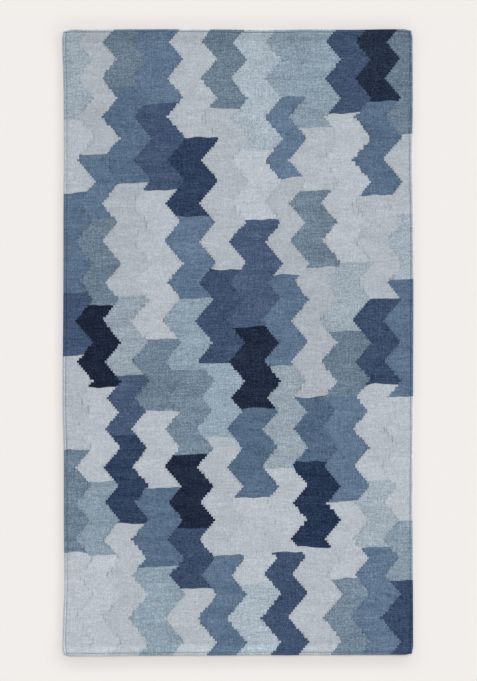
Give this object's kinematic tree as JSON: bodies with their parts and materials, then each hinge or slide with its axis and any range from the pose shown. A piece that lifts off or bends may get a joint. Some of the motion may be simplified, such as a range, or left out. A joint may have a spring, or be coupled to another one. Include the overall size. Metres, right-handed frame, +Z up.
{
  "type": "flatweave rug",
  "caption": "Rectangular cotton flatweave rug lying flat, with toothed zigzag bands in blues and greys, turned-under end hems and corded selvedges.",
  "frame": {"origin": "centre of the rug's bounding box, on the plane of its underside", "axes": "+X across the rug from the left selvedge to the right, +Y along it towards the end that is at the top of the picture, +Z up off the floor"},
  "size_m": [1.0042, 1.7944, 0.0084],
  "materials": {
    "rug_cloth": "matt weft-faced cotton weave in navy, denim, slate and pale blue-grey"
  },
  "bodies": {
    "root": {"rug": "rug_cloth"}
  },
  "joints": []
}
